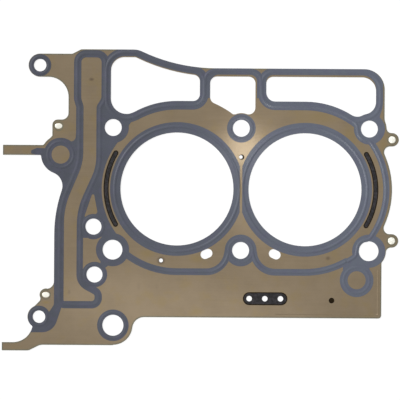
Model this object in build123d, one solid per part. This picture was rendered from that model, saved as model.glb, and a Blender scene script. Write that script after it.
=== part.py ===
from build123d import *
import math
import os

# Cylinder head gasket for one two-cylinder bank of an opposed four-cylinder engine.
# Two stamped steel layers are held together by four rivets. The upper layer carries a
# bead round each bore and the printed rubber seal lines that face the cylinder head.
# Lengths are in millimetres. X runs along the bank, away from the timing cover, and Z
# from the cylinder block to the head. The origin is midway between the two bores, on
# the underside of the lower layer.

# Bores and head bolts
BORE_PITCH = 108.8
BORE_OPENING = 96.0
BOLT_ROW_SPACING = 103.8
BOLT_HOLE = 14.4
DOWEL_HOLE = 16.8

LEFT_BORE = (-BORE_PITCH / 2, 0.0)
RIGHT_BORE = (BORE_PITCH / 2, 0.0)
UPPER_ROW = BOLT_ROW_SPACING / 2
LOWER_ROW = -BOLT_ROW_SPACING / 2
UPPER_LEFT_BOLT = (-BORE_PITCH, UPPER_ROW)
UPPER_MIDDLE_BOLT = (0.0, UPPER_ROW)
UPPER_RIGHT_BOLT = (BORE_PITCH, UPPER_ROW)
LOWER_LEFT_DOWEL = (-BORE_PITCH, LOWER_ROW)
LOWER_MIDDLE_BOLT = (0.0, LOWER_ROW)
LOWER_RIGHT_DOWEL = (BORE_PITCH, LOWER_ROW)

# Layers, from the block up
LOWER_LAYER = 0.4
UPPER_LAYER = 0.25
PRINT_LAYER = 0.08

# Bead pressed into the upper layer round each bore
BEAD_DIAMETER = 106.0
BEAD_FOOT = 2.6
BEAD_CREST = 1.2
BEAD_HEIGHT = 0.25

# Oil and locating holes, as centres and diameters
UPPER_TAB_HOLE = (-171.2, 104.5)
LOWER_TAB_HOLE = (-170.9, -109.2)
TAB_HOLE = 10.6
UPPER_OIL_HOLE = (-125.1, -32.4)
LOWER_OIL_HOLE = (-124.0, -73.1)
OIL_HOLE = 13.6
DRAIN_HOLE_CENTRE = (-108.1, -116.1)
DRAIN_HOLE = 17.9
VENT_CENTRE = (0.4, 27.4)
VENT_HOLE = 4.5
PIN_CENTRE = (-67.6, -60.8)
PIN_HOLE = 4.0
BLIND_CENTRE = (77.5, -94.0)
BLIND_HOLE = 4.8

# Coolant slots beside the outer halves of the bores, open in the upper layer only
ARC_SLOT_RADIUS = 60.2
ARC_SLOT_WIDTH = 4.4
ARC_SLOT_HALF_ANGLE = 30.2

# Coolant transfer holes below the middle of the bank
TRANSFER_RADIUS = 60.6
TRANSFER_ANGLE = 65.2
TRANSFER_LENGTH = 10.3
TRANSFER_WIDTH = 7.5

# Metering window, open in the upper layer, with three holes in the lower layer
METERING_CENTRE = (21.1, -92.8)
METERING_LENGTH = 37.9
METERING_WIDTH = 11.05
METERING_HOLE = 4.7
METERING_PITCH = 13.3
METERING_SHIFT = -0.3

# Rivets
RIVET_CENTRES = {
    "rivet_timing_side_upper": (-155.2, 52.9),
    "rivet_timing_side_lower": (-165.2, -90.5),
    "rivet_flywheel_side_upper": (128.1, 42.9),
    "rivet_flywheel_side_lower": (128.1, -43.0),
}
RIVET_SHANK = 3.0
RIVET_HEAD = 6.4
RIVET_HEAD_HEIGHT = 0.6
RIVET_HEAD_BEVEL = 0.35
RIVET_FOOT = 5.2
RIVET_CLEARANCE = 0.1

# Outline of both layers
UPPER_EDGE = 102.7
SHOULDER_EDGE = 118.2
SHOULDER_SLOPE = 24.8
SHOULDER_ARC = 148.0
SHOULDER_ARC_X = -22.0
RIGHT_EDGE = 121.6
LOWER_RIGHT_EDGE = 119.7
LOWER_EDGE = -109.0
FOOT_EDGE = -133.0
LEFT_EDGE = -158.4
TAB_END = -202.35
UPPER_TAB_TOP = 36.65
UPPER_TAB_BOTTOM = 28.2
LOWER_TAB_TOP = -131.0
LOWER_TAB_EDGE = -137.9
TAB_LOBE = 9.8
DRAIN_LOBE = 16.6
BOLT_LOBE = 14.6
JACKET_EDGE_RADIUS = 73.9
RIVET_LOBE = 5.3
NECK_LOBE = 5.7

# Blanked-off passages, closed by the layers and ringed by print
UPPER_BLANK = (-153.4, 28.6)
LOWER_BLANK = (98.7, -76.6)
BLANK_LOBE = 16.6
BLANK_RING = 14.3
BLANK_BARE = 7.7

# Windows for the coolant jacket
RIM = 6.7
WINDOW_JACKET = 74.8
FIRST_WINDOW_LEFT = -111.0
FIRST_WINDOW_RIGHT = -35.4
FIRST_WINDOW_TOP = 111.8
WINDOW_LOBE_Y = 76.8
WINDOW_LOBE = 13.3
SECOND_WINDOW_LEFT = -26.7
SECOND_WINDOW_RIGHT = 11.8
SECOND_WINDOW_BOTTOM = 63.7
SECOND_WINDOW_JACKET = 79.4
SECOND_WINDOW_BOLT = 12.9
THIRD_WINDOW_LEFT = 21.0
THIRD_WINDOW_RIGHT = 114.3
THIRD_WINDOW_BOLT = 13.0
UPPER_WINDOW_TOP = 95.8
WINDOW_CORNER = 5.8

# Printed seal lines
BORE_RING = 56.8
BRIDGE_STRIP = 2.1
WINDOW_BAND = 7.3
BAR_BAND = 7.0
BAR_FOOT = 77.5
CHANNEL_BAND = 6.2
JACKET_LINE = 5.7
JACKET_LINE_RADIUS = 70.2
JACKET_BEND_REST = 0.3
SIDE_LINE = 5.3
SIDE_LINE_RADIUS = 69.1
INNER_FIELD_RADIUS = 64.0
BOLT_RING = 12.2
CORNER_BOLT_RING = 13.2
LOWER_BOLT_RING = 13.5
DOWEL_RING = 14.1
OIL_RING = 10.8
DRAIN_RING = 13.4
TAB_RING = 9.4
RIVET_BARE = 3.7

# Bare strips along the window edges, as steps to the right and up
TIMING_BARE = (0.0, 0.8)
MIDDLE_BARE = (1.3, 1.6)
FLYWHEEL_BARE = (0.0, 1.6)


def disc(centre, radius):
    """A circle at a centre."""
    return Pos(*centre) * Circle(radius)


def block(left, bottom, right, top):
    """A rectangle between its edges."""
    middle = ((left + right) / 2, (bottom + top) / 2)
    return Pos(*middle) * Rectangle(right - left, top - bottom)


def rounded(*corners):
    """A closed outline whose corners are x, y and corner radius."""
    points = [(x, y) for x, y, radius in corners]
    radii = [radius for x, y, radius in corners]
    return make_face(FilletPolyline(*points, radius=radii, close=True))


def band(width, *corners):
    """A strip of even width along a path whose corners are x, y and corner radius."""
    points = [Vector(x, y) for x, y, radius in corners]
    left, right = [], []
    for index, (x, y, radius) in enumerate(corners):
        before = points[index] - points[index - 1] if index else points[1] - points[0]
        after = points[index + 1] - points[index] if index + 1 < len(points) else before
        before = before.normalized()
        after = after.normalized()
        reach = width / 2 / (1 + before.dot(after))
        side = Vector(-before.Y - after.Y, before.X + after.X) * reach
        turn = math.copysign(width / 2, before.cross(after).Z) if radius else 0.0
        left.append((x + side.X, y + side.Y, radius - turn))
        right.append((x - side.X, y - side.Y, radius + turn))
    return rounded(*left, *reversed(right))


def blend(sketch, *corners):
    """The sketch with the corners nearest to some points rounded."""
    for x, y, radius in corners:
        corner = sketch.vertices().sort_by_distance(Vector(x, y))[0]
        sketch = fillet(corner, radius)
    return sketch


def on_circle(centre, radius, angle):
    """The point of a circle at an angle in degrees."""
    turn = math.radians(angle)
    return (centre[0] + radius * math.cos(turn), centre[1] + radius * math.sin(turn))


def half_chord(radius, offset):
    """Half the chord that a circle has at some distance from its centre."""
    return math.sqrt(radius**2 - offset**2)


def shoulder(top, brow_radius, arc_radius, low):
    """The two corners of the upper left shoulder, from its flat top to the level edge."""
    slope = math.radians(SHOULDER_SLOPE)
    foot_x = SHOULDER_ARC_X - arc_radius * math.tan(slope / 2)
    brow_x = foot_x - (top - low) / math.tan(slope)
    return (brow_x, top, brow_radius), (foot_x, low, arc_radius)


def sheet_outline():
    """Outline of both layers, with its tabs and lobes."""
    tab_x, tab_y = UPPER_TAB_HOLE
    drain_x = DRAIN_HOLE_CENTRE[0]
    blank_x, blank_y = UPPER_BLANK
    rivet_x, rivet_y = RIVET_CENTRES["rivet_timing_side_lower"]
    neck_x = LOWER_TAB_HOLE[0] - 5.1
    body = rounded(
        (tab_x, tab_y + TAB_LOBE, 0.0),
        (-143.9, tab_y + TAB_LOBE, 4.0),
        (-136.3, SHOULDER_EDGE, 4.0),
        *shoulder(SHOULDER_EDGE, 16.0, SHOULDER_ARC, UPPER_EDGE),
        (RIGHT_EDGE, UPPER_EDGE, 17.3),
        (RIGHT_EDGE, UPPER_ROW, 0.0),
        (BORE_PITCH, UPPER_ROW, 0.0),
        (BORE_PITCH, LOWER_ROW, 0.0),
        (LOWER_RIGHT_EDGE, LOWER_ROW, 0.0),
        (LOWER_RIGHT_EDGE, LOWER_EDGE, 2.6),
        (drain_x, LOWER_EDGE, 0.0),
        (drain_x, FOOT_EDGE, 0.0),
        (-169.9, FOOT_EDGE, 10.0),
        (-179.6, LOWER_TAB_EDGE, 6.0),
        (TAB_END, LOWER_TAB_EDGE, 0.0),
        (TAB_END, LOWER_TAB_TOP, 0.0),
        (neck_x, LOWER_TAB_TOP, 17.2),
        (neck_x, LOWER_TAB_HOLE[1], 0.0),
        (rivet_x - 10.0, rivet_y - 10.1, 0.0),
        (rivet_x, rivet_y, 0.0),
        (rivet_x, -85.5, 0.0),
        (LEFT_EDGE, -85.5, 6.5),
        (LEFT_EDGE, -20.8, 115.0),
        (blank_x + 6.4, blank_y - 14.1, 0.0),
        (blank_x, blank_y, 0.0),
        (blank_x, UPPER_TAB_BOTTOM, 0.0),
        (TAB_END, UPPER_TAB_BOTTOM, 0.0),
        (TAB_END, UPPER_TAB_TOP, 0.0),
        (-168.3, UPPER_TAB_TOP, 1.5),
        (-160.5, 44.6, 1.5),
        (-160.5, 58.4, 4.6),
        (-146.9, 58.4, 5.6),
        (-146.9, tab_y - TAB_LOBE, 17.3),
        (tab_x, tab_y - TAB_LOBE, 0.0),
    )
    body += disc(UPPER_TAB_HOLE, TAB_LOBE)
    body += disc(LOWER_TAB_HOLE, TAB_LOBE)
    body += disc(DRAIN_HOLE_CENTRE, DRAIN_LOBE)
    body += disc(UPPER_BLANK, BLANK_LOBE)
    body += disc(UPPER_RIGHT_BOLT, BOLT_LOBE)
    body += disc(LOWER_RIGHT_DOWEL, BOLT_LOBE)
    body += disc(RIGHT_BORE, JACKET_EDGE_RADIUS)
    body += disc((rivet_x, rivet_y), RIVET_LOBE)
    corners = [
        (drain_x + half_chord(DRAIN_LOBE, LOWER_EDGE - DRAIN_HOLE_CENTRE[1]), LOWER_EDGE, 10.0),
        (RIGHT_EDGE, UPPER_ROW + half_chord(BOLT_LOBE, RIGHT_EDGE - BORE_PITCH), 12.0),
        (LOWER_RIGHT_EDGE, LOWER_ROW - half_chord(BOLT_LOBE, LOWER_RIGHT_EDGE - BORE_PITCH), 3.0),
        (blank_x + 5.9, blank_y - 15.5, 12.0),
        (blank_x - half_chord(BLANK_LOBE, UPPER_TAB_BOTTOM - blank_y), UPPER_TAB_BOTTOM, 1.0),
        (neck_x, LOWER_TAB_HOLE[1] - half_chord(TAB_LOBE, neck_x - LOWER_TAB_HOLE[0]), 1.0),
        (rivet_x - 7.8, rivet_y - 9.1, 3.0),
        (rivet_x - 3.5, rivet_y - 4.0, 3.2),
    ]
    for name in ("rivet_flywheel_side_upper", "rivet_flywheel_side_lower"):
        lobe_x, lobe_y = RIVET_CENTRES[name]
        side = math.copysign(1.0, lobe_y)
        body += disc((lobe_x, lobe_y), NECK_LOBE)
        body += block(BORE_PITCH, lobe_y - NECK_LOBE, lobe_x, lobe_y + NECK_LOBE)
        outer_y = lobe_y + side * NECK_LOBE
        inner_y = lobe_y - side * NECK_LOBE
        corners += [
            (BORE_PITCH + half_chord(BOLT_LOBE, outer_y - side * UPPER_ROW), outer_y, 4.2),
            (RIGHT_BORE[0] + half_chord(JACKET_EDGE_RADIUS, inner_y), inner_y, 5.0),
        ]
    return blend(body, *corners)


def first_window(grow=0.0):
    """The large window above the bore on the timing side, grown evenly on request."""
    lobe_x = FIRST_WINDOW_LEFT + WINDOW_LOBE
    lobe = (lobe_x, WINDOW_LOBE_Y)
    left = FIRST_WINDOW_LEFT - grow
    right = FIRST_WINDOW_RIGHT + grow
    top = FIRST_WINDOW_TOP + grow
    low = UPPER_EDGE - RIM + grow
    jacket = WINDOW_JACKET - grow
    reach = math.dist(lobe, LEFT_BORE)
    touch_x = LEFT_BORE[0] + (lobe_x - LEFT_BORE[0]) * jacket / reach
    touch_y = LEFT_BORE[1] + (WINDOW_LOBE_Y - LEFT_BORE[1]) * jacket / reach
    upper = rounded(
        (left, WINDOW_LOBE_Y, 0.0),
        (left, top, 11.5 + grow),
        *shoulder(top, 3.0 + grow, SHOULDER_ARC + RIM - grow, low),
        (0.0, low, 0.0),
        (0.0, WINDOW_LOBE_Y, 0.0),
    )
    upper &= block(left, WINDOW_LOBE_Y, right, top)
    lower = make_face(
        Polyline(
            lobe,
            (touch_x, touch_y),
            (LEFT_BORE[0], touch_y),
            (LEFT_BORE[0], jacket),
            (right, jacket),
            (right, WINDOW_LOBE_Y),
            close=True,
        )
    )
    window = upper + lower + disc(lobe, WINDOW_LOBE + grow) - disc(LEFT_BORE, jacket)
    return blend(
        window,
        (right, low, WINDOW_CORNER + grow),
        (right, jacket, WINDOW_CORNER + grow),
    )


def second_window():
    """The square window above the bridge between the bores."""
    window = block(SECOND_WINDOW_LEFT, SECOND_WINDOW_BOTTOM, SECOND_WINDOW_RIGHT, UPPER_WINDOW_TOP)
    window -= disc(LEFT_BORE, SECOND_WINDOW_JACKET)
    window -= disc(UPPER_MIDDLE_BOLT, SECOND_WINDOW_BOLT)
    jacket_y = half_chord(SECOND_WINDOW_JACKET, SECOND_WINDOW_LEFT - LEFT_BORE[0])
    return blend(
        window,
        (SECOND_WINDOW_LEFT, UPPER_WINDOW_TOP, WINDOW_CORNER),
        (SECOND_WINDOW_RIGHT, UPPER_WINDOW_TOP, WINDOW_CORNER),
        (SECOND_WINDOW_RIGHT, SECOND_WINDOW_BOTTOM, WINDOW_CORNER),
        (SECOND_WINDOW_LEFT, jacket_y, WINDOW_CORNER),
    )


def third_window(grow=0.0):
    """The large window above the bore on the flywheel side, grown evenly on request."""
    left = THIRD_WINDOW_LEFT - grow
    right = THIRD_WINDOW_RIGHT + grow
    top = UPPER_WINDOW_TOP + grow
    jacket = WINDOW_JACKET - grow
    bolt = THIRD_WINDOW_BOLT - grow
    window = block(left, UPPER_ROW, right, top)
    window -= block(0.0, 0.0, RIGHT_BORE[0], jacket)
    window -= disc(RIGHT_BORE, jacket)
    window -= disc(UPPER_RIGHT_BOLT, bolt)
    corners = [
        (left, top, WINDOW_CORNER + grow),
        (right, top, 11.8 + grow),
        (left, jacket, 7.7 + grow),
    ]
    if not grow:
        corners += [
            (right, UPPER_ROW + half_chord(bolt, right - BORE_PITCH), 10.5),
            (98.6, 60.9, 9.0),
        ]
    return blend(window, *corners)


def arc_slot(centre, middle_angle):
    """Curved slot beside a bore."""
    start = middle_angle - ARC_SLOT_HALF_ANGLE
    path = CenterArc(centre, ARC_SLOT_RADIUS, start, 2 * ARC_SLOT_HALF_ANGLE)
    return SlotArc(path, ARC_SLOT_WIDTH)


def transfer_hole(centre, angle):
    """Rounded hole whose length follows the bore."""
    place = Pos(*on_circle(centre, TRANSFER_RADIUS, angle))
    return place * SlotOverall(TRANSFER_LENGTH, TRANSFER_WIDTH, rotation=angle + 90)


def shared_openings():
    """Every opening that goes through both layers."""
    openings = first_window() + second_window() + third_window()
    for bore in (LEFT_BORE, RIGHT_BORE):
        openings += disc(bore, BORE_OPENING / 2)
    for bolt in (UPPER_LEFT_BOLT, UPPER_MIDDLE_BOLT, UPPER_RIGHT_BOLT, LOWER_MIDDLE_BOLT):
        openings += disc(bolt, BOLT_HOLE / 2)
    for dowel in (LOWER_LEFT_DOWEL, LOWER_RIGHT_DOWEL):
        openings += disc(dowel, DOWEL_HOLE / 2)
    for tab in (UPPER_TAB_HOLE, LOWER_TAB_HOLE):
        openings += disc(tab, TAB_HOLE / 2)
    for oil in (UPPER_OIL_HOLE, LOWER_OIL_HOLE):
        openings += disc(oil, OIL_HOLE / 2)
    openings += disc(DRAIN_HOLE_CENTRE, DRAIN_HOLE / 2)
    openings += disc(VENT_CENTRE, VENT_HOLE / 2)
    openings += disc(PIN_CENTRE, PIN_HOLE / 2)
    openings += transfer_hole(LEFT_BORE, -TRANSFER_ANGLE)
    openings += transfer_hole(RIGHT_BORE, TRANSFER_ANGLE - 180)
    for centre in RIVET_CENTRES.values():
        openings += disc(centre, RIVET_SHANK / 2 + RIVET_CLEARANCE / 2)
    return openings


def upper_face():
    """Flat pattern of the upper layer."""
    face = sheet_outline() - shared_openings()
    face -= arc_slot(LEFT_BORE, 180)
    face -= arc_slot(RIGHT_BORE, 0)
    face -= Pos(*METERING_CENTRE) * SlotOverall(METERING_LENGTH, METERING_WIDTH)
    face -= disc(BLIND_CENTRE, BLIND_HOLE / 2)
    return face


def lower_face():
    """Flat pattern of the lower layer."""
    face = sheet_outline() - shared_openings()
    for step in (-1, 0, 1):
        x = METERING_CENTRE[0] + METERING_SHIFT + step * METERING_PITCH
        face -= disc((x, METERING_CENTRE[1]), METERING_HOLE / 2)
    return face


def window_bands():
    """Print along the windows, and across the bars between them."""
    bar_left = SECOND_WINDOW_LEFT - BAR_BAND
    bar_right = SECOND_WINDOW_RIGHT + BAR_BAND
    bar_top = UPPER_WINDOW_TOP + BAR_BAND
    bars = rounded(
        (bar_left, BAR_FOOT, 0.0),
        (bar_left, bar_top, WINDOW_CORNER + BAR_BAND),
        (bar_right, bar_top, WINDOW_CORNER + BAR_BAND),
        (bar_right, BAR_FOOT, 0.0),
    )
    return bars + first_window(WINDOW_BAND) + third_window(WINDOW_BAND)


def timing_channel():
    """Bare channel down the timing side, inside its own closed seal line."""
    return rounded(
        (-136.2, 111.3, 4.0),
        (-119.0, 111.3, 4.0),
        (-119.0, 76.5, 6.0),
        (-123.1, 70.0, 6.0),
        (-123.1, 18.2, 40.0),
        (-139.3, -17.8, 62.0),
        (-139.3, -82.0, 14.5),
        (-123.8, -90.2, 2.6),
        (-123.8, -95.7, 2.6),
        (-150.2, -95.7, 0.8),
        (-150.2, -16.4, 62.0),
        (-134.15, 21.8, 45.0),
        (-134.15, 70.0, 6.0),
        (-136.2, 76.5, 6.0),
    )


def timing_print():
    """Print at the timing side, round the channel and the two oil holes."""
    field = offset(timing_channel(), CHANNEL_BAND)
    field += rounded(
        (-158.3, -99.0, 5.0),
        (-158.3, 10.0, 0.0),
        UPPER_BLANK + (0.0,),
        (-136.0, 27.0, 0.0),
        (-142.0, 0.0, 0.0),
        (-148.0, -20.0, 0.0),
        (-151.2, -99.0, 12.0),
        (-159.0, -122.4, 13.0),
        (-185.0, -122.4, 0.0),
        (-185.0, -114.0, 0.0),
        LOWER_TAB_HOLE + (0.0,),
        (-163.0, -106.0, 0.0),
    )
    field += disc(UPPER_BLANK, BLANK_RING)
    field += disc(UPPER_BLANK, BLANK_LOBE) & block(-175.0, 10.0, -150.0, UPPER_BLANK[1] + 1.2)
    field += rounded(
        (-178.4, 29.6, 0.5),
        (-178.4, 32.0, 0.5),
        (-173.5, 34.2, 2.0),
        (-160.0, 33.6, 0.0),
        (-160.0, 27.0, 0.0),
        (-171.0, 27.0, 0.0),
    )
    field += block(-138.0, -41.0, -97.0, 71.0)
    field += block(-138.0, -90.0, LOWER_OIL_HOLE[0], -41.0)
    field += rounded(
        LOWER_OIL_HOLE + (0.0,),
        (-121.0, -58.0, 0.0),
        LOWER_LEFT_DOWEL + (0.0,),
        (-113.0, -66.0, 0.0),
    )
    field -= disc(LEFT_BORE, INNER_FIELD_RADIUS)
    field -= rounded((-125.4, -1.5, 1.2), (-121.8, -20.0, 0.0), (-127.0, -28.0, 0.0), (-132.8, -23.6, 0.5))
    field -= block(-133.9, -70.0, -119.0, -42.0)
    return field


def jacket_line(side):
    """Seal line below one bore, from its outer dowel to the lower middle bolt."""
    bore_x = side * BORE_PITCH / 2
    start = 215.0 if side < 0 else 270.0
    sweep = 55.0 if side < 0 else 30.0
    bend = JACKET_LINE_RADIUS + LOWER_ROW - JACKET_BEND_REST
    arc = CenterArc((bore_x, 0.0), JACKET_LINE_RADIUS, start, sweep)
    run = band(
        JACKET_LINE,
        (bore_x, -JACKET_LINE_RADIUS, 0.0),
        (side * 14.2, -JACKET_LINE_RADIUS, bend),
        (side * (LOWER_BOLT_RING - JACKET_LINE / 2), LOWER_ROW, 0.0),
    )
    return SlotArc(arc, JACKET_LINE) + run


def side_line():
    """Seal line beside the bore on the flywheel side, round both corner bolts."""
    line = SlotArc(CenterArc(RIGHT_BORE, SIDE_LINE_RADIUS, -31.0, 62.0), SIDE_LINE)
    for side in (-1, 1):
        line += band(
            SIDE_LINE,
            (90.6, side * 61.1, 0.0),
            (98.1, side * 56.4, 6.0),
            (99.9, side * 43.7, 7.5),
            (109.5, side * 41.8, 6.0),
            (113.5, side * 35.7, 0.0),
        )
    return line


def bolt_rings():
    """Print round the holes and the blanked passage that the seal lines run into."""
    rings = disc(UPPER_MIDDLE_BOLT, BOLT_RING)
    rings += disc(LOWER_MIDDLE_BOLT, LOWER_BOLT_RING)
    for corner in (UPPER_LEFT_BOLT, UPPER_RIGHT_BOLT):
        rings += disc(corner, CORNER_BOLT_RING)
    for dowel in (LOWER_LEFT_DOWEL, LOWER_RIGHT_DOWEL):
        rings += disc(dowel, DOWEL_RING)
    rings += disc(DRAIN_HOLE_CENTRE, DRAIN_RING)
    for tab in (UPPER_TAB_HOLE, LOWER_TAB_HOLE):
        rings += disc(tab, TAB_RING)
    for oil in (UPPER_OIL_HOLE, LOWER_OIL_HOLE):
        rings += disc(oil, OIL_RING)
    rings += disc(LOWER_BLANK, BLANK_RING)
    rings += rounded(
        (87.0, -72.0, 0.0),
        (87.0, -62.0, 0.0),
        (93.0, -57.5, 0.0),
        (109.5, -57.5, 0.0),
        (109.5, -72.0, 0.0),
    )
    return rings


def corner_fills():
    """Print that fills the corners where a ring meets a band."""
    fills = rounded(
        (-100.0, 60.0, 0.0),
        (-86.5, 60.5, 0.0),
        (-95.6, 55.9, 9.0),
        (-97.0, 46.0, 0.0),
        (-101.0, 48.0, 0.0),
    )
    fills += rounded(
        (-139.0, 47.0, 0.0),
        (-140.4, 47.0, 0.0),
        (-140.9, 40.4, 4.0),
        (-146.5, 39.5, 0.0),
        (-139.0, 32.0, 0.0),
    )
    return fills


def bare_strips():
    """Bare sheet inside the bands: along three windows, and above the corner bolt."""
    strips = Pos(*TIMING_BARE) * first_window()
    strips += Pos(*MIDDLE_BARE) * second_window()
    strips += Pos(*FLYWHEEL_BARE) * third_window()
    corner = rounded(
        (RIGHT_EDGE - 1.5, 92.0, 0.0),
        (RIGHT_EDGE + 1.0, 92.0, 0.0),
        (RIGHT_EDGE + 1.0, 55.0, 0.0),
        (RIGHT_EDGE - 4.6, 61.0, 0.5),
        (RIGHT_EDGE - 1.8, 70.0, 6.0),
    )
    return strips + corner - disc(UPPER_RIGHT_BOLT, CORNER_BOLT_RING)


def print_face():
    """Flat pattern of the whole print, trimmed to the upper layer."""
    face = timing_print() + window_bands() + bolt_rings() + side_line()
    face += jacket_line(-1) + jacket_line(1) + corner_fills()
    face -= timing_channel() + bare_strips()
    for blank in (UPPER_BLANK, LOWER_BLANK):
        face -= disc(blank, BLANK_BARE)
    for bore in (LEFT_BORE, RIGHT_BORE):
        face += disc(bore, BORE_RING)
    face -= block(-BRIDGE_STRIP / 2, LOWER_ROW + LOWER_BOLT_RING, BRIDGE_STRIP / 2, UPPER_ROW - BOLT_RING)
    for centre in RIVET_CENTRES.values():
        face -= disc(centre, RIVET_BARE)
    return face & upper_face()


def bead_ring(bore, low):
    """Raised ring of one bore bead above a level."""
    radius = BEAD_DIAMETER / 2
    section = make_face(
        Polyline(
            (radius - BEAD_FOOT / 2, 0.0),
            (radius - BEAD_CREST / 2, BEAD_HEIGHT),
            (radius + BEAD_CREST / 2, BEAD_HEIGHT),
            (radius + BEAD_FOOT / 2, 0.0),
            close=True,
        )
    )
    return Pos(*bore, low) * revolve(Plane.XZ * section, Axis.Z)


def embossed(face, low, thickness):
    """A thin layer over a flat pattern, following both bore beads."""
    flat = Pos(0, 0, low) * face
    layer = extrude(flat, thickness)
    column = extrude(flat, thickness + BEAD_HEIGHT)
    for bore in (LEFT_BORE, RIGHT_BORE):
        layer += bead_ring(bore, low + thickness) & column
    for bore in (LEFT_BORE, RIGHT_BORE):
        layer -= bead_ring(bore, low)
    return layer


def rivet_foot(grow):
    """Flared foot that a rivet forms in the lower layer, flush with its underside."""
    return Pos(0, 0, LOWER_LAYER / 2) * Cone(RIVET_FOOT / 2 + grow, RIVET_SHANK / 2 + grow, LOWER_LAYER)


def rivet(centre):
    """Rivet with a low bevelled head above and a flared foot flush below."""
    top = LOWER_LAYER + UPPER_LAYER
    shank = RIVET_SHANK / 2
    head = RIVET_HEAD / 2
    crown = top + RIVET_HEAD_HEIGHT
    profile = make_face(
        Polyline(
            (0.0, crown),
            (0.0, 0.0),
            (RIVET_FOOT / 2, 0.0),
            (shank, LOWER_LAYER),
            (shank, top),
            (head, top),
            (head, crown - RIVET_HEAD_BEVEL),
            (head - RIVET_HEAD_BEVEL, crown),
            close=True,
        )
    )
    return Pos(*centre) * revolve(Plane.XZ * profile, Axis.Z)


def block_layer():
    """The flat lower layer, with countersunk rivet holes."""
    layer = extrude(lower_face(), LOWER_LAYER)
    for centre in RIVET_CENTRES.values():
        layer -= Pos(*centre) * rivet_foot(RIVET_CLEARANCE / 2)
    return layer


pieces = {
    "block_side_layer": block_layer(),
    "head_side_layer": embossed(upper_face(), LOWER_LAYER, UPPER_LAYER),
    "seal_print": embossed(print_face(), LOWER_LAYER + UPPER_LAYER, PRINT_LAYER),
}
for name, centre in RIVET_CENTRES.items():
    pieces[name] = rivet(centre)

os.makedirs("parts", exist_ok=True)
for name, piece in pieces.items():
    export_step(piece, f"parts/{name}.step")
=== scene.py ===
import math

import bmesh
import bpy
from bpy.props import FloatProperty, FloatVectorProperty, IntProperty, PointerProperty
from mathutils import Matrix, Vector


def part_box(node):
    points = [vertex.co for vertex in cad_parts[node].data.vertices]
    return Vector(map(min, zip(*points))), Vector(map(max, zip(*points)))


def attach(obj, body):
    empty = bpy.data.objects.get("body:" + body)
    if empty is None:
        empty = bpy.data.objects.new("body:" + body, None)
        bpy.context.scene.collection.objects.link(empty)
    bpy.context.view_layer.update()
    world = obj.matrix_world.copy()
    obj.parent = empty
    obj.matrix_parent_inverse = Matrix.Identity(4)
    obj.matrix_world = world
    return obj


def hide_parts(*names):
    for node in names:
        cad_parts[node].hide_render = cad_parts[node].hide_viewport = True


bl_info = {
    "name": "Cylinder head gasket",
    "version": (1, 0, 0),
    "blender": (4, 5, 0),
    "location": "3D View > Sidebar > Gasket",
    "description": "Dresses the packed head gasket with its coatings, seal ridges and rivets",
    "category": "Object",
}

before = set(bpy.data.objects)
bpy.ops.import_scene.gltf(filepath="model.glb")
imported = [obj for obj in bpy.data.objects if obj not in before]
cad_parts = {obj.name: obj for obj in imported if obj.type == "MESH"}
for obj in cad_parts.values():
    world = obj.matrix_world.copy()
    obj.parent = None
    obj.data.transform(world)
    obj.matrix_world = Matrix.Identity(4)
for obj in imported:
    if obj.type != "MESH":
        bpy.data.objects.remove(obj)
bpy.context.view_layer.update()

MM = 0.001
BODY = "root"
HEAD_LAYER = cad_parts["head_side_layer"]
BLOCK_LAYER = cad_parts["block_side_layer"]
SEAL_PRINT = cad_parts["seal_print"]
RIVETS = sorted(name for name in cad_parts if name.startswith("rivet_"))
BLOCK_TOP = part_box("block_side_layer")[1].z / MM
SHEET_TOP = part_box("seal_print")[0].z / MM
PRINT_THICKNESS = 0.08
PRINT_TOP = SHEET_TOP + PRINT_THICKNESS
RIVET_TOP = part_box(RIVETS[0])[1].z / MM

# Places on the gasket, in millimetres
RIGHT_EDGE = 119.7
LOWER_EDGE = -109.0
PIN_HOLE = (-67.6, -60.8)
BLIND_HOLE = (77.5, -94.0)
METERING_WINDOW = (21.1, -92.8)
ARC_SLOT_X = 114.6
CREASE_START_Y = -68.0
CREASE_END_X = 30.0

# Points inside the openings that a ridge goes round
WINDOWS = (
    ("ridge_window_timing_side", (-70.0, 90.0)),
    ("ridge_window_flywheel_side", (60.0, 88.0)),
)
CHANNEL = (-128.0, 90.0)

# Middle lines of the other ridges, with angles in degrees about a bore
JACKET_RADIUS = 70.2
JACKET_START = 230.0
JACKET_STOP = 300.0
JACKET_CORNER = (14.2, 18.0)
JACKET_END = (10.35, -54.0)
SIDE_RADIUS = 69.1
SIDE_ANGLE = 31.0
SIDE_CORNERS = ((90.6, 61.1, 0.0), (98.1, 56.4, 6.0), (99.9, 43.7, 7.5), (109.5, 41.8, 6.0))
MIDDLE_WINDOW = ((-31.2, 88.0, 0.0), (-31.2, 100.3, 8.0), (16.6, 100.3, 8.0), (16.6, 88.0, 0.0))
RINGS = (
    ("ring_bolt_middle_upper", (0.0, 51.9), 9.4),
    ("ring_bolt_middle_lower", (0.0, -51.9), 10.2),
    ("ring_drain", (-108.1, -116.1), 11.0),
    ("ring_tab_upper", (-171.2, 104.5), 7.2),
    ("ring_tab_lower", (-170.9, -109.2), 7.2),
    ("ring_oil_upper", (-125.1, -32.4), 8.6),
    ("ring_oil_lower", (-124.0, -73.1), 8.6),
    ("ring_blank_timing_side", (-153.4, 28.6), 11.0),
    ("ring_blank_flywheel_side", (98.7, -76.6), 11.0),
)

# Painted shade on the walls inside the small holes, as centre, radius and width, and the levels it
# fills
HOLE_SHADES = (
    ("lip_pin_hole", PIN_HOLE, 1.95, 0.5),
    ("lip_vent_hole", (-0.25, 27.5), 2.2, 1.4),
)
HOLE_SHADE_BOTTOM = 0.1
HOLE_SHADE_DEPTH = 0.2

# How far the rivet heads are squashed along and across the gasket
TIMING_SQUASH = (1.0, 0.74)
FLYWHEEL_SQUASH = (0.93, 0.93)

# The dome of a head: its steps, and how full its sides are
DOME_STEPS = 8
DOME_FULLNESS = 0.8

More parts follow.
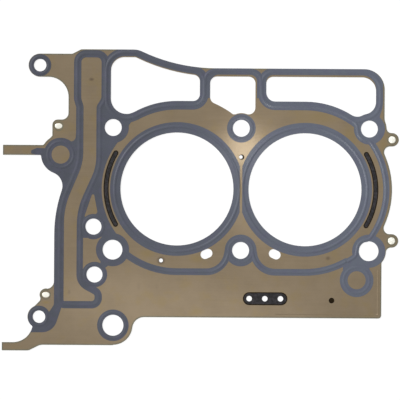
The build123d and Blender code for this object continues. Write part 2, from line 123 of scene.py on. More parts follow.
# The star pressed into a flywheel side head: its points, its depth and how soon it sets in
STAR_POINTS = 6.0
STAR_DEPTH = 0.55
STAR_ONSET = 1.3

# Gaps that keep a rim clear of the cut edge beside it
EDGE_GAP = 0.02
PIT_GAP = 0.05

# The way from the gasket to the key light
KEY_DIRECTION = (-0.8, 0.5, 0.65)

# Patches, marks and painted shade on the tan coating, as centre and reach in millimetres, and strength
GOLD_PATCHES = (
    ((-80.0, -55.0), (9.0, 5.0), 0.8),
    ((-37.5, -59.0), (8.0, 5.0), 0.8),
    ((-36.0, -104.0), (7.0, 4.0), 0.6),
    ((68.0, 62.0), (22.0, 8.0), 0.7),
    ((92.0, 46.0), (9.0, 12.0), 0.7),
    ((121.0, 38.0), (6.0, 8.0), 0.8),
    ((-165.0, -97.0), (4.5, 1.8), 1.0),
)
# Dark brown marks; the one at the dimple at (-127.5, 92.7) and the one round the pin hole are painted
# shade
SMUDGES_AND_SHADE = (
    ((-127.5, 92.7), (2.8, 1.8), 0.6),
    ((-145.4, -88.0), (1.6, 2.5), 0.22),
    ((74.2, -58.1), (2.6, 2.3), 0.48),
    (PIN_HOLE, (4.2, 4.2), 0.75),
    ((-86.5, -83.0), (2.0, 5.0), 0.10),
    ((-71.0, -83.0), (2.0, 4.0), 0.08),
)


def length(name, description, default, low=0.0, high=2000.0):
    """A size in millimetres."""
    return FloatProperty(name=name, description=description, default=default, min=low, max=high)


def position(name, description, default):
    """A place along or across the gasket, in millimetres."""
    return length(name, description, default, -500.0, 500.0)


def brightness(name, description, default):
    """The strength of a light that has no power of its own."""
    return FloatProperty(name=name, description=description, default=default, min=0.0)


def degrees(name, description, default):
    """An angle given in degrees."""
    return FloatProperty(
        name=name, description=description, default=math.radians(default), subtype="ANGLE"
    )


def share(name, description, default):
    """A number from nought to one."""
    return FloatProperty(
        name=name, description=description, default=default, min=0.0, max=1.0, subtype="FACTOR"
    )


def colour(name, description, default):
    """A colour in linear light."""
    return FloatVectorProperty(
        name=name,
        description=description,
        default=default,
        size=3,
        min=0.0,
        max=1.0,
        subtype="COLOR",
    )


def watts(name, description, default):
    """The power of a lamp."""
    return FloatProperty(name=name, description=description, default=default, min=0.0, unit="POWER")


class GasketFinishes(bpy.types.PropertyGroup):
    """Colours and surface qualities of the gasket's finishes."""

    tan_colour: colour(
        "Tan coating", "Colour of the coating on the head side", (0.272, 0.209, 0.134)
    )
    tan_shade: colour("Tan shade", "Darker patches of the tan coating", (0.238, 0.182, 0.115))
    gold_tint: colour("Gold tint", "Warmer patches of the tan coating", (0.270, 0.200, 0.098))
    # Colour of the dark marks, also used as painted shade at a dimple and round the pin hole
    smudge_and_shade: colour("Smudge", "Small marks on the tan coating", (0.085, 0.060, 0.045))
    tan_roughness: share("Tan roughness", "How matt the tan coating is", 0.30)
    tan_metal: share("Tan metal", "How much the steel shows through the coating", 0.55)
    edge_colour: colour("Rolled edge", "Darker rim along the cut edge", (0.150, 0.135, 0.090))
    edge_roughness: share("Edge roughness", "How matt that rim is", 0.45)
    edge_metal: share("Edge metal", "How much the steel shows through that rim", 0.4)
    # Painted sheen: the print's colour runs from this darker tone at the tabs to the lighter one at
    # the flywheel side
    print_shaded_timing_side: colour(
        "Print, timing side", "Colour of the printed rubber at the tabs", (0.047, 0.052, 0.070)
    )
    print_lit_flywheel_side: colour(
        "Print, flywheel side", "Colour of the printed rubber at the far end", (0.097, 0.110, 0.143)
    )
    print_violet: colour(
        "Violet tint", "Cooler patches of the printed rubber", (0.075, 0.070, 0.125)
    )
    print_roughness: share("Print roughness", "How matt the printed rubber is", 0.34)
    print_matt: share("Print matting", "How much more matt the print is at the tabs", 0.17)
    black_colour: colour(
        "Black coating", "Colour of the coating on the block side", (0.0145, 0.013, 0.0155)
    )
    black_roughness: share("Black roughness", "How matt the black coating is", 0.5)
    black_sheen: share("Black sheen", "How strongly the black coating reflects", 0.35)
    pit_colour: colour(
        "Deep black", "Shaded rims of the slots and the blind hole", (0.009, 0.0055, 0.0015)
    )
    pit_roughness: share("Deep black roughness", "How matt the shaded rims are", 0.8)
    pit_sheen: share("Deep black sheen", "How strongly the shaded rims reflect", 0.1)
    # Partly painted reflection: the rivets' near-white colour stands in for the studio light mirrored
    # in the steel
    steel_and_reflection_colour: colour("Rivet steel", "Colour of the bare rivets", (1.0, 0.99, 0.88))
    steel_roughness: share("Rivet roughness", "How matt the rivets are", 0.3)
    steel_metal: share("Rivet metal", "How strongly the rivets mirror like metal", 0.2)


class GasketSizes(bpy.types.PropertyGroup):
    """Sizes of the details that lie on the sheets, in millimetres."""

    bore_pitch: length("Bore pitch", "Distance between the two bores", 108.8)
    bead_radius: length("Bead radius", "Radius of the bead round a bore", 53.0)
    bead_width: length("Bead width", "Width of the rounded bead", 3.4)
    bead_height: length("Bead height", "Height of the bead above the print", 0.38)
    bridge_strip: length("Bridge strip", "Bare strip between the two bores", 2.1)
    ridge_width: length("Ridge width", "Width of the ridge along a printed line", 4.0)
    ridge_height: length("Ridge height", "Height of that ridge above the print", 0.36)
    line_width: length("Line width", "Width of the ridge along a line beside a bore", 3.4)
    window_ridge: length("Window ridge", "Distance of the ridge from a window's edge", 3.9)
    channel_ridge: length("Channel ridge", "Distance of the ridge from the bare channel", 3.3)
    channel_height: length("Channel height", "Height of the ridge along the bare channel", 0.2)
    ring_ridge: length("Ring ridge", "Width of the ridge round a hole", 3.0)
    ring_height: length("Ring height", "Height of the ridge round a hole", 0.2)
    sunk: length("Sunk", "How deep a ridge is set into the print", 0.04)
    edge_width: length("Edge width", "Width of the darker rim along the outline", 1.0)
    edge_height: length("Edge height", "Height of a darker rim over its sheet", 0.02)
    crease_inset: length("Crease inset", "Distance of the crease from the lower right edges", 3.1)
    crease_width: length("Crease width", "Width of that crease", 0.9)
    crease_height: length("Crease height", "Height of that crease", 0.2)
    crease_corner: length("Crease corner", "Rounding of that crease", 1.2)
    pit_rim: length("Pit rim", "Width of the shaded rim inside a slot", 0.8)
    pit_radius: length("Pit radius", "Radius of the shaded floor of the blind hole", 2.35)
    pit_taper: length("Pit taper", "How much that floor narrows upwards", 0.15)
    pit_height: length("Pit height", "Thickness of that floor", 0.06)
    # This height also sets the dark rings inside the small holes, which are painted shade of their
    # walls
    seat_and_shade_height: length("Lip height", "Height of the lips round the small holes and rivets", 0.05)
    seat_radius: length("Seat radius", "Radius of the lip round a rivet", 3.75)
    rivet_head: length("Rivet head", "Diameter of a rivet's domed head", 6.4)
    rivet_shank: length("Rivet shank", "Diameter of a rivet's shank", 3.0)
    rivet_foot: length("Rivet foot", "Diameter of a rivet's flared foot", 5.2)
    rivet_rim: length("Rivet rim", "Height of the upright rim of a rivet's head", 0.1)
    facets: IntProperty(
        name="Facets", description="Steps in a full turn", default=96, min=24, max=256
    )


class GasketStage(bpy.types.PropertyGroup):
    """Camera and light."""

    centre_x: position("Centre X", "Place that the camera looks at", -34.75)
    centre_y: position("Centre Y", "Place that the camera looks at", -9.25)
    height: length("Camera height", "Height of the camera over the floor", 944.4)
    roll: degrees("Roll", "Turn of the camera about its view", 0.35)
    focal_length: length("Focal length", "Focal length of the camera", 100.0)
    sky: brightness("Studio", "Brightness of the white studio", 0.6)
    key_power: brightness("Key light", "Strength of the soft light beside the tabs", 2.4)
    key_softness: degrees("Key softness", "Width of that light in the sky", 25.0)
    glint_power: watts("Glint light", "Power of the small light above the bridge", 0.0118)
    glint_x: position("Glint X", "Where its reflection lies", 2.0)
    glint_y: position("Glint Y", "Where its reflection lies", 34.0)
    glint_height: length("Glint height", "Height of the small light", 80.0)
    glint_size: length("Glint size", "Width of the small light", 32.0)
    low_power: watts("Low light", "Power of the wide light above the lower edge", 0.030)
    low_x: position("Low light X", "Where its reflection lies", -48.0)
    low_y: position("Low light Y", "Where its reflection lies", -108.0)
    low_height: length("Low light height", "Height of the wide light", 150.0)
    low_width: length("Low light width", "Width of the wide light along the gasket", 280.0)
    ridge_power: watts("Ridge light", "Power of the spot that catches the ridges", 0.32)
    ridge_x: position("Ridge light X", "Where that spot hangs", -28.0)
    ridge_y: position("Ridge light Y", "Where that spot hangs", -32.0)
    ridge_aim_x: position("Ridge light aim X", "Where that spot aims", 100.0)
    ridge_aim_y: position("Ridge light aim Y", "Where that spot aims", 22.0)
    ridge_cone: degrees("Ridge light cone", "Width of that spot's cone", 46.0)
    bead_power: watts("Bead light", "Power of the spot that catches the flywheel side bead", 0.35)
    bead_x: position("Bead light X", "Where that spot hangs", -8.0)
    bead_y: position("Bead light Y", "Where that spot hangs", -72.0)
    bead_aim_x: position("Bead light aim X", "Where that spot aims", 97.0)
    bead_aim_y: position("Bead light aim Y", "Where that spot aims", 50.0)
    bead_cone: degrees("Bead light cone", "Width of that spot's cone", 34.0)
    spot_height: length("Spot height", "Height of both spots", 330.0)
    spot_size: length("Spot size", "Radius of both spots' lamps", 12.0)
    floor_size: length("Floor", "Width of the pale floor", 6000.0, 0.0, 20000.0)
    floor_drop: length("Floor drop", "Distance of the floor below the gasket", 0.1)
    floor_tone: share("Floor tone", "How pale the floor's own colour is", 0.25)
    floor_glow: brightness("Floor glow", "Brightness of the light from below the floor", 0.78)


def shade_tree(name):
    """A new material, as the material, its node tree and its shader."""
    material = bpy.data.materials.new(name)
    material.use_nodes = True
    tree = material.node_tree
    shader = tree.nodes["Principled BSDF"]
    return material, tree, shader


def add_node(tree, kind, **settings):
    """A new node with its settings."""
    node = tree.nodes.new(kind)
    for key, value in settings.items():
        setattr(node, key, value)
    return node


def object_pattern(tree, scale, shift=(0.0, 0.0, 0.0)):
    """Object coordinates, stretched by a scale and moved."""
    place = add_node(tree, "ShaderNodeTexCoord")
    mapping = add_node(tree, "ShaderNodeMapping")
    mapping.inputs["Scale"].default_value = scale
    mapping.inputs["Location"].default_value = shift
    tree.links.new(place.outputs["Object"], mapping.inputs["Vector"])
    return mapping.outputs["Vector"]


def noise(tree, vector, scale, detail, roughness=0.55):
    """Noise over a pattern."""
    node = add_node(tree, "ShaderNodeTexNoise")
    node.inputs["Scale"].default_value = scale
    node.inputs["Detail"].default_value = detail
    node.inputs["Roughness"].default_value = roughness
    tree.links.new(vector, node.inputs["Vector"])
    return node.outputs["Fac"]


def span(tree, value, low, high, to_low=0.0, to_high=1.0):
    """A value taken from one range to another."""
    node = add_node(tree, "ShaderNodeMapRange")
    node.clamp = True
    tree.links.new(value, node.inputs["Value"])
    names = ("From Min", "From Max", "To Min", "To Max")
    for name, number in zip(names, (low, high, to_low, to_high)):
        node.inputs[name].default_value = number
    return node.outputs["Result"]


def patch(tree, centre, reach, depth):
    """A soft oval patch at a place on the sheet, as strong as its depth in the middle."""
    scale = [1.0 / (part * MM) for part in reach]
    shift = [-part * MM * factor for part, factor in zip(centre, scale)]
    oval = add_node(tree, "ShaderNodeVectorMath", operation="LENGTH")
    tree.links.new(object_pattern(tree, (*scale, 0.0), (*shift, 0.0)), oval.inputs[0])
    return span(tree, oval.outputs["Value"], 0.25, 1.0, depth, 0.0)


def blend_colours(tree, factor, first, second):
    """Two colours, or a colour and a socket, mixed by a factor."""
    node = add_node(tree, "ShaderNodeMix", data_type="RGBA")
    tree.links.new(factor, node.inputs[0])
    for socket, source in ((node.inputs[6], first), (node.inputs[7], second)):
        if isinstance(source, bpy.types.NodeSocket):
            tree.links.new(source, socket)
        else:
            socket.default_value = (*source, 1.0)
    return node.outputs[2]


def bump(tree, height, shader, distance, strength):
    """Relief on the shader from a height."""
    node = add_node(tree, "ShaderNodeBump")
    node.inputs["Distance"].default_value = distance
    node.inputs["Strength"].default_value = strength
    tree.links.new(height, node.inputs["Height"])
    tree.links.new(node.outputs["Normal"], shader.inputs["Normal"])


def tan_coating(finishes):
    """Thin tan rubber over rolled steel: soft patches, rolling grain and fine specks."""
    material, tree, shader = shade_tree("rolled_tan_coating")
    even = object_pattern(tree, (1.0, 1.0, 1.0))
    rolled = object_pattern(tree, (0.3, 10.0, 1.0))
    patches = span(tree, noise(tree, even, 30.0, detail=4.0, roughness=0.65), 0.36, 0.64)
    grain = span(tree, noise(tree, rolled, 90.0, detail=5.0, roughness=0.6), 0.35, 0.65)
    specks = noise(tree, even, 2600.0, detail=2.0)
    coat = blend_colours(tree, patches, tuple(finishes.tan_shade), tuple(finishes.tan_colour))
    worn = tuple(min(1.0, part * 1.08) for part in finishes.tan_colour)
    coat = blend_colours(tree, span(tree, grain, 0.0, 1.0, 0.0, 0.3), coat, worn)
    warm = span(tree, noise(tree, even, 70.0, detail=3.0, roughness=0.6), 0.52, 0.68, 0.0, 0.5)
    coat = blend_colours(tree, warm, coat, tuple(finishes.gold_tint))
    # The dark marks include painted shade at a dimple and round the pin hole
    for marks, tint in ((GOLD_PATCHES, finishes.gold_tint), (SMUDGES_AND_SHADE, finishes.smudge_and_shade)):
        for centre, reach, depth in marks:
            coat = blend_colours(tree, patch(tree, centre, reach, depth), coat, tuple(tint))
    tree.links.new(coat, shader.inputs["Base Color"])
    matt = finishes.tan_roughness
    rough = span(tree, grain, 0.0, 1.0, matt - 0.015, matt + 0.02)
    tree.links.new(rough, shader.inputs["Roughness"])
    shader.inputs["Metallic"].default_value = finishes.tan_metal
    bump(tree, specks, shader, distance=0.00002, strength=0.5)
    return material


def print_rubber(finishes):
    """Printed blue-grey rubber with a fine screen texture; its colour grows lighter towards the
    flywheel as painted sheen.
    """
    material, tree, shader = shade_tree("screened_print_rubber")
    even = object_pattern(tree, (1.0, 1.0, 1.0))
    split = add_node(tree, "ShaderNodeSeparateXYZ")
    tree.links.new(even, split.inputs["Vector"])
    along = span(tree, split.outputs["X"], -0.15, 0.12)
    cloud = span(tree, noise(tree, even, 45.0, detail=3.0), 0.35, 0.65)
    # Painted sheen: the colour grows lighter from the timing side to the flywheel side
    base = blend_colours(tree, along, tuple(finishes.print_shaded_timing_side), tuple(finishes.print_lit_flywheel_side))
    pale = tuple(min(1.0, part * 1.12) for part in finishes.print_lit_flywheel_side)
    base = blend_colours(tree, span(tree, cloud, 0.0, 1.0, 0.0, 0.16), base, pale)
    violet = span(tree, noise(tree, even, 160.0, detail=3.0), 0.45, 0.7, 0.0, 0.35)
    base = blend_colours(tree, violet, base, tuple(finishes.print_violet))
    tree.links.new(base, shader.inputs["Base Color"])
    grain = noise(tree, even, 1500.0, detail=3.0)
    glossy = finishes.print_roughness
    sheen = span(tree, split.outputs["X"], -0.1, 0.04, glossy + finishes.print_matt, glossy)
    rough = add_node(tree, "ShaderNodeMath", operation="ADD")
    tree.links.new(sheen, rough.inputs[0])
    tree.links.new(span(tree, grain, 0.3, 0.7, -0.05, 0.06), rough.inputs[1])
    tree.links.new(rough.outputs["Value"], shader.inputs["Roughness"])
    bump(tree, grain, shader, distance=0.00001, strength=0.4)
    return material


def black_coating(finishes):
    """Black rubber coating with faint mottling."""
    material, tree, shader = shade_tree("mottled_black_coating")
    even = object_pattern(tree, (1.0, 1.0, 1.0))
    cloud = span(tree, noise(tree, even, 420.0, detail=5.0, roughness=0.7), 0.42, 0.62)
    dark = tuple(part * 0.35 for part in finishes.black_colour)
    pale = tuple(min(1.0, part * 1.9) for part in finishes.black_colour)
    tree.links.new(blend_colours(tree, cloud, dark, pale), shader.inputs["Base Color"])
    shader.inputs["Specular IOR Level"].default_value = finishes.black_sheen
    grain = noise(tree, even, 1800.0, detail=3.0)
    matt = finishes.black_roughness
    rough = span(tree, grain, 0.3, 0.7, matt - 0.06, matt + 0.06)
    tree.links.new(rough, shader.inputs["Roughness"])
    bump(tree, grain, shader, distance=0.00004, strength=0.6)
    return material


def rolled_edge(finishes):
    """The tan coating where it thins over the cut edge and darkens."""
    material, tree, shader = shade_tree("rolled_edge_coating")
    even = object_pattern(tree, (1.0, 1.0, 1.0))
    cloud = span(tree, noise(tree, even, 260.0, detail=3.0), 0.35, 0.65)
    pale = tuple(min(1.0, part * 1.25) for part in finishes.edge_colour)
    base = blend_colours(tree, cloud, tuple(finishes.edge_colour), pale)
    tree.links.new(base, shader.inputs["Base Color"])
    shader.inputs["Roughness"].default_value = finishes.edge_roughness
    shader.inputs["Metallic"].default_value = finishes.edge_metal
    return material


def pit_black(finishes):
    """Deep black of the shaded rims, with a trace of brown."""
    material, tree, shader = shade_tree("pit_black")
    even = object_pattern(tree, (1.0, 1.0, 1.0))
    cloud = span(tree, noise(tree, even, 900.0, detail=3.0), 0.35, 0.65)
    pale = tuple(min(1.0, part * 2.2) for part in finishes.pit_colour)
    base = blend_colours(tree, cloud, tuple(finishes.pit_colour), pale)
    tree.links.new(base, shader.inputs["Base Color"])
    shader.inputs["Roughness"].default_value = finishes.pit_roughness
    shader.inputs["Specular IOR Level"].default_value = finishes.pit_sheen
    return material


def rivet_steel(finishes):
    """Bright steel with fine turned rings left by the riveting tool; its near-white colour is partly
    painted reflection of the studio light.
    """
    material, tree, shader = shade_tree("turned_rivet_steel")
    even = object_pattern(tree, (1.0, 1.0, 1.0))
    cloud = span(tree, noise(tree, even, 700.0, detail=3.0), 0.3, 0.7)
    shade = tuple(part * 0.86 for part in finishes.steel_and_reflection_colour)
    base = blend_colours(tree, cloud, shade, tuple(finishes.steel_and_reflection_colour))
    tree.links.new(base, shader.inputs["Base Color"])
    matt = finishes.steel_roughness
    rough = span(tree, cloud, 0.0, 1.0, matt - 0.05, matt + 0.08)
    tree.links.new(rough, shader.inputs["Roughness"])
    shader.inputs["Metallic"].default_value = finishes.steel_metal
    return material


def pale_floor(stage):
    """Plain matt white, lit softly from below like a light table."""
    material, tree, shader = shade_tree("pale_floor")
    tone = stage.floor_tone
    shader.inputs["Base Color"].default_value = (tone, tone, tone, 1.0)
    shader.inputs["Roughness"].default_value = 0.9
    shader.inputs["Specular IOR Level"].default_value = 0.0
    shader.inputs["Emission Color"].default_value = (1.0, 1.0, 1.0, 1.0)
    shader.inputs["Emission Strength"].default_value = stage.floor_glow
    return material


def finish_of(name, make, finishes):
    """The named finish, made the first time it is asked for."""
    return bpy.data.materials.get(name) or make(finishes)


def coat_node(node, material):
    """Gives a CAD node a finish."""
    node.data.materials.clear()
    node.data.materials.append(material)


def piece_from(bm, name, material, smooth=40.0):
    """A finished piece from a closed mesh, riding on the gasket."""
    bmesh.ops.remove_doubles(bm, verts=bm.verts, dist=0.001)
    bmesh.ops.recalc_face_normals(bm, faces=bm.faces)
    bmesh.ops.scale(bm, vec=(MM, MM, MM), verts=bm.verts)
    mesh = bpy.data.meshes.new(name)
    bm.to_mesh(mesh)
    bm.free()
    mesh.materials.append(material)
    mesh.shade_smooth()
    mesh.set_sharp_from_angle(angle=math.radians(smooth))
    piece = bpy.data.objects.new(name, mesh)
    bpy.context.scene.collection.objects.link(piece)
    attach(piece, BODY)
    return piece


def hump(width, height, low, steps=10, base=PRINT_TOP):
    """Cross-section of a softly rising ridge, as distances from its middle line and heights."""
    section = [(width / 2, low)]
    for step in range(steps + 1):
        aside = 1.0 - 2.0 * step / steps
        rise = (1.0 + math.cos(math.pi * aside)) / 2
        section.append((width / 2 * aside, base + height * rise))
    section.append((-width / 2, low))
    return section


def section_loop(bm, section, place, across):
    """Sets a closed cross-section upright at a place of a path."""
    verts = [bm.verts.new((*(place + across * side), level)) for side, level in section]
    return [bm.edges.new((verts[index - 1], verts[index])) for index in range(len(verts))]


def sweep(bm, section, corners):
    """Carries a cross-section along a path whose corners are x, y and corner radius."""
    start = Vector(corners[0][:2])
    stops = corners[1:]
    heading = (Vector(stops[0][:2]) - start).normalized()
    edges = section_loop(bm, section, start, Vector((-heading.y, heading.x)))
    first = list(edges)
    here = start
    for index, (x, y, radius) in enumerate(stops):
        corner = Vector((x, y))
        last = index == len(stops) - 1
        turn = 0.0
        if not last:
            onward = (Vector(stops[index + 1][:2]) - corner).normalized()
            turn = math.atan2(heading.x * onward.y - heading.y * onward.x, heading.dot(onward))
        tangent = radius * math.tan(abs(turn) / 2)
        goal = corner - heading * tangent
        made = bmesh.ops.extrude_edge_only(bm, edges=edges)["geom"]
        moved = [part for part in made if isinstance(part, bmesh.types.BMVert)]
        edges = [part for part in made if isinstance(part, bmesh.types.BMEdge)]
        bmesh.ops.translate(bm, verts=moved, vec=(*(goal - here), 0.0))
        here = goal
        if not last and abs(turn) > 1e-4:
            side = Vector((-heading.y, heading.x)) * math.copysign(radius, turn)
            made = bmesh.ops.spin(
                bm,
                geom=[*moved, *edges],
                cent=(*(here + side), 0.0),
                axis=(0.0, 0.0, 1.0),
                angle=turn,
                steps=max(3, int(abs(turn) * (6 + radius / 3))),
                use_merge=False,
            )["geom_last"]
            edges = [part for part in made if isinstance(part, bmesh.types.BMEdge)]
            heading = Vector(
                (
                    heading.x * math.cos(turn) - heading.y * math.sin(turn),
                    heading.x * math.sin(turn) + heading.y * math.cos(turn),
                )
            )
            here = corner + heading * tangent
    bmesh.ops.contextual_create(bm, geom=first)
    bmesh.ops.contextual_create(bm, geom=edges)


def ring(bm, section, centre, radius, facets):
    """Carries a cross-section round a centre."""
    edges = section_loop(bm, section, Vector(centre) + Vector((radius, 0.0)), Vector((1.0, 0.0)))
    verts = [edge.verts[1] for edge in edges]
    bmesh.ops.spin(
        bm,
        geom=[*verts, *edges],
        cent=(*centre, 0.0),
        axis=(0.0, 0.0, 1.0),
        angle=2 * math.pi,
        steps=facets,
        use_merge=True,
    )


def sheet_rims(node, level):
    """Every rim in a CAD sheet's top, smallest first, as its box's area and corners and its points."""
    sheet = bmesh.new()
    sheet.from_mesh(node.data)
    bmesh.ops.remove_doubles(sheet, verts=sheet.verts, dist=1e-6)
    sheet.normal_update()
    top = {
        face
        for face in sheet.faces
        if face.normal.z > 0.99 and abs(face.calc_center_median().z - level * MM) < 2e-5
    }
    on_rim = [edge for edge in sheet.edges if sum(face in top for face in edge.link_faces) == 1]
    loose = dict.fromkeys(on_rim)
    rims = []
    while loose:
        edge = next(iter(loose))
        del loose[edge]
        first, here = edge.verts
        path = [first]
        while here is not first:
            path.append(here)
            onward = [other for other in here.link_edges if other in loose]
            if not onward:
                break
            del loose[onward[0]]
            here = onward[0].other_vert(here)
        points = [Vector((vert.co.x, vert.co.y)) / MM for vert in path]
        low = Vector((min(point.x for point in points), min(point.y for point in points)))
        high = Vector((max(point.x for point in points), max(point.y for point in points)))
        rims.append(((high.x - low.x) * (high.y - low.y), low, high, points))
    sheet.free()
    return sorted(rims, key=lambda rim: rim[0])


def opening_rim(node, level, inside):
    """The rim of the smallest opening round a point in a CAD sheet's top."""
    for area, low, high, points in sheet_rims(node, level):
        if low.x < inside[0] < high.x and low.y < inside[1] < high.y:
            return points
    raise RuntimeError(f"there is no opening round {inside}")


def follow(bm, section, rim, distance):
    """Carries a cross-section round an opening, at a distance outside its rim."""
    area = sum(a.x * b.y - a.y * b.x for a, b in zip(rim, rim[1:] + rim[:1])) / 2
    outward = bm.verts.layers.float_vector.new("outward")
    verts = []
    for index, point in enumerate(rim):
        before = (point - rim[index - 1]).normalized()
        after = (rim[(index + 1) % len(rim)] - point).normalized()
        sides = Vector((before.y + after.y, -before.x - after.x)) / (1 + before.dot(after))
        sides *= math.copysign(1.0, area)
        start = point + sides * (distance + section[0][0])
        vert = bm.verts.new((*start, section[0][1]))
        vert[outward] = (*sides, 0.0)
        verts.append(vert)
    edges = [bm.edges.new((verts[index - 1], verts[index])) for index in range(len(verts))]
    past = section[0]
    for place in [*section[1:], section[0]]:
        made = bmesh.ops.extrude_edge_only(bm, edges=edges)["geom"]
        edges = [part for part in made if isinstance(part, bmesh.types.BMEdge)]
        for vert in (part for part in made if isinstance(part, bmesh.types.BMVert)):
            vert.co += vert[outward] * (place[0] - past[0]) + Vector((0.0, 0.0, place[1] - past[1]))
        past = place


def arc_corner(centre, radius, first, last):
    """The corner whose rounding is an arc about a centre, between two angles in degrees."""
    middle = math.radians((first + last) / 2)
    reach = radius / math.cos(math.radians(abs(last - first) / 2))
    return (centre[0] + reach * math.cos(middle), centre[1] + reach * math.sin(middle), radius)


def arc_point(centre, radius, angle):
    """A point of an arc, as a corner with no rounding."""
    turn = math.radians(angle)
    return (centre[0] + radius * math.cos(turn), centre[1] + radius * math.sin(turn), 0.0)


def settings_of(group, family, *names):
    """The settings of a group whose names begin with a family's name."""
    return [getattr(group, f"{family}_{name}") for name in names]


def lamp(kind, name, power, place, target):
    """A lamp at a place, turned to a target."""
    light = bpy.data.lights.new(name, kind)
    light.energy = power
    carrier = bpy.data.objects.new(name, light)
    carrier.location = place
    carrier.rotation_euler = (target - place).to_track_quat("-Z", "Y").to_euler()
    bpy.context.scene.collection.objects.link(carrier)
    return light


class GASKET_OT_sheets(bpy.types.Operator):
    """Coat the two steel sheets"""

    bl_idname = "gasket.sheets"
    bl_label = "Coat the sheets"

    def execute(self, context):
        finishes = context.scene.gasket_finishes
        coat_node(HEAD_LAYER, finish_of("rolled_tan_coating", tan_coating, finishes))
        coat_node(BLOCK_LAYER, finish_of("mottled_black_coating", black_coating, finishes))
        return {"FINISHED"}


class GASKET_OT_print(bpy.types.Operator):
    """Give the printed rubber its finish"""

    bl_idname = "gasket.print"
    bl_label = "Finish the print"

    def execute(self, context):
        finishes = context.scene.gasket_finishes
        coat_node(SEAL_PRINT, finish_of("screened_print_rubber", print_rubber, finishes))
        return {"FINISHED"}


class GASKET_OT_bore_beads(bpy.types.Operator):
    """Lay a rounded bead of printed rubber round each bore"""

    bl_idname = "gasket.bore_beads"
    bl_label = "Bore beads"

    def execute(self, context):
        sizes = context.scene.gasket_sizes
        rubber = finish_of("screened_print_rubber", print_rubber, context.scene.gasket_finishes)
        section = hump(sizes.bead_width, sizes.bead_height, PRINT_TOP - sizes.sunk, steps=14)
        for side, name in ((-1, "bead_timing_side"), (1, "bead_flywheel_side")):
            bm = bmesh.new()
            bore = (side * sizes.bore_pitch / 2, 0.0)
            ring(bm, section, bore, sizes.bead_radius, 2 * sizes.facets)
            bmesh.ops.remove_doubles(bm, verts=bm.verts, dist=0.001)
            cut = bmesh.ops.bisect_plane(
                bm,
                geom=[*bm.verts, *bm.edges, *bm.faces],
                plane_co=(side * sizes.bridge_strip / 2, 0.0, 0.0),
                plane_no=(side, 0.0, 0.0),
                clear_inner=True,
            )["geom_cut"]
            rim = [part for part in cut if isinstance(part, bmesh.types.BMEdge)]
            bmesh.ops.holes_fill(bm, edges=rim, sides=0)
            piece_from(bm, name, rubber)
        return {"FINISHED"}


class GASKET_OT_window_ridges(bpy.types.Operator):
    """Lay the ridges round the windows and the bare channel"""

    bl_idname = "gasket.window_ridges"
    bl_label = "Window ridges"

    def execute(self, context):
        sizes = context.scene.gasket_sizes
        rubber = finish_of("screened_print_rubber", print_rubber, context.scene.gasket_finishes)
        section = hump(sizes.ridge_width, sizes.ridge_height, PRINT_TOP - sizes.sunk)
        for name, inside in WINDOWS:
            bm = bmesh.new()
            follow(bm, section, opening_rim(HEAD_LAYER, SHEET_TOP, inside), sizes.window_ridge)
            piece_from(bm, name, rubber)
        low_section = hump(sizes.ridge_width, sizes.channel_height, PRINT_TOP - sizes.sunk)
        bm = bmesh.new()
        follow(bm, low_section, opening_rim(SEAL_PRINT, PRINT_TOP, CHANNEL), sizes.channel_ridge)
        piece_from(bm, "ridge_timing_channel", rubber)
        bm = bmesh.new()
        sweep(bm, section, MIDDLE_WINDOW)
        piece_from(bm, "ridge_window_middle", rubber)
        return {"FINISHED"}


class GASKET_OT_line_ridges(bpy.types.Operator):
    """Lay the ridges along the seal lines beside and below the bores"""

    bl_idname = "gasket.line_ridges"
    bl_label = "Seal line ridges"

    def execute(self, context):
        sizes = context.scene.gasket_sizes
        rubber = finish_of("screened_print_rubber", print_rubber, context.scene.gasket_finishes)
        section = hump(sizes.line_width, sizes.ridge_height, PRINT_TOP - sizes.sunk)
        left = (-sizes.bore_pitch / 2, 0.0)
        right = (sizes.bore_pitch / 2, 0.0)
        turn_x, turn_radius = JACKET_CORNER
        end_x, end_y = JACKET_END
        timing = (
            arc_point(left, JACKET_RADIUS, JACKET_START),
            arc_corner(left, JACKET_RADIUS, JACKET_START, 270.0),
            (-turn_x, -JACKET_RADIUS, turn_radius),
            (-end_x, end_y, 0.0),
        )
        flywheel = (
            (end_x, end_y, 0.0),
            (turn_x, -JACKET_RADIUS, turn_radius),
            arc_corner(right, JACKET_RADIUS, 270.0, JACKET_STOP),
            arc_point(right, JACKET_RADIUS, JACKET_STOP),
        )
        below = [(x, -y, radius) for x, y, radius in reversed(SIDE_CORNERS)]
        middle = arc_corner(right, SIDE_RADIUS, SIDE_ANGLE, -SIDE_ANGLE)
        side = (*SIDE_CORNERS, middle, *below)
        for name, corners in (
            ("ridge_jacket_timing_side", timing),
            ("ridge_jacket_flywheel_side", flywheel),
            ("ridge_side_line", side),
        ):
            bm = bmesh.new()
            sweep(bm, section, corners)
            piece_from(bm, name, rubber)
        return {"FINISHED"}


class GASKET_OT_ring_ridges(bpy.types.Operator):
    """Lay the low ridges round the bolt, dowel and oil holes"""

    bl_idname = "gasket.ring_ridges"
    bl_label = "Ring ridges"

    def execute(self, context):
        sizes = context.scene.gasket_sizes
        rubber = finish_of("screened_print_rubber", print_rubber, context.scene.gasket_finishes)
        section = hump(sizes.ring_ridge, sizes.ring_height, PRINT_TOP - sizes.sunk)
        for name, centre, radius in RINGS:
            bm = bmesh.new()
            ring(bm, section, centre, radius, sizes.facets)
            piece_from(bm, name, rubber)
        return {"FINISHED"}


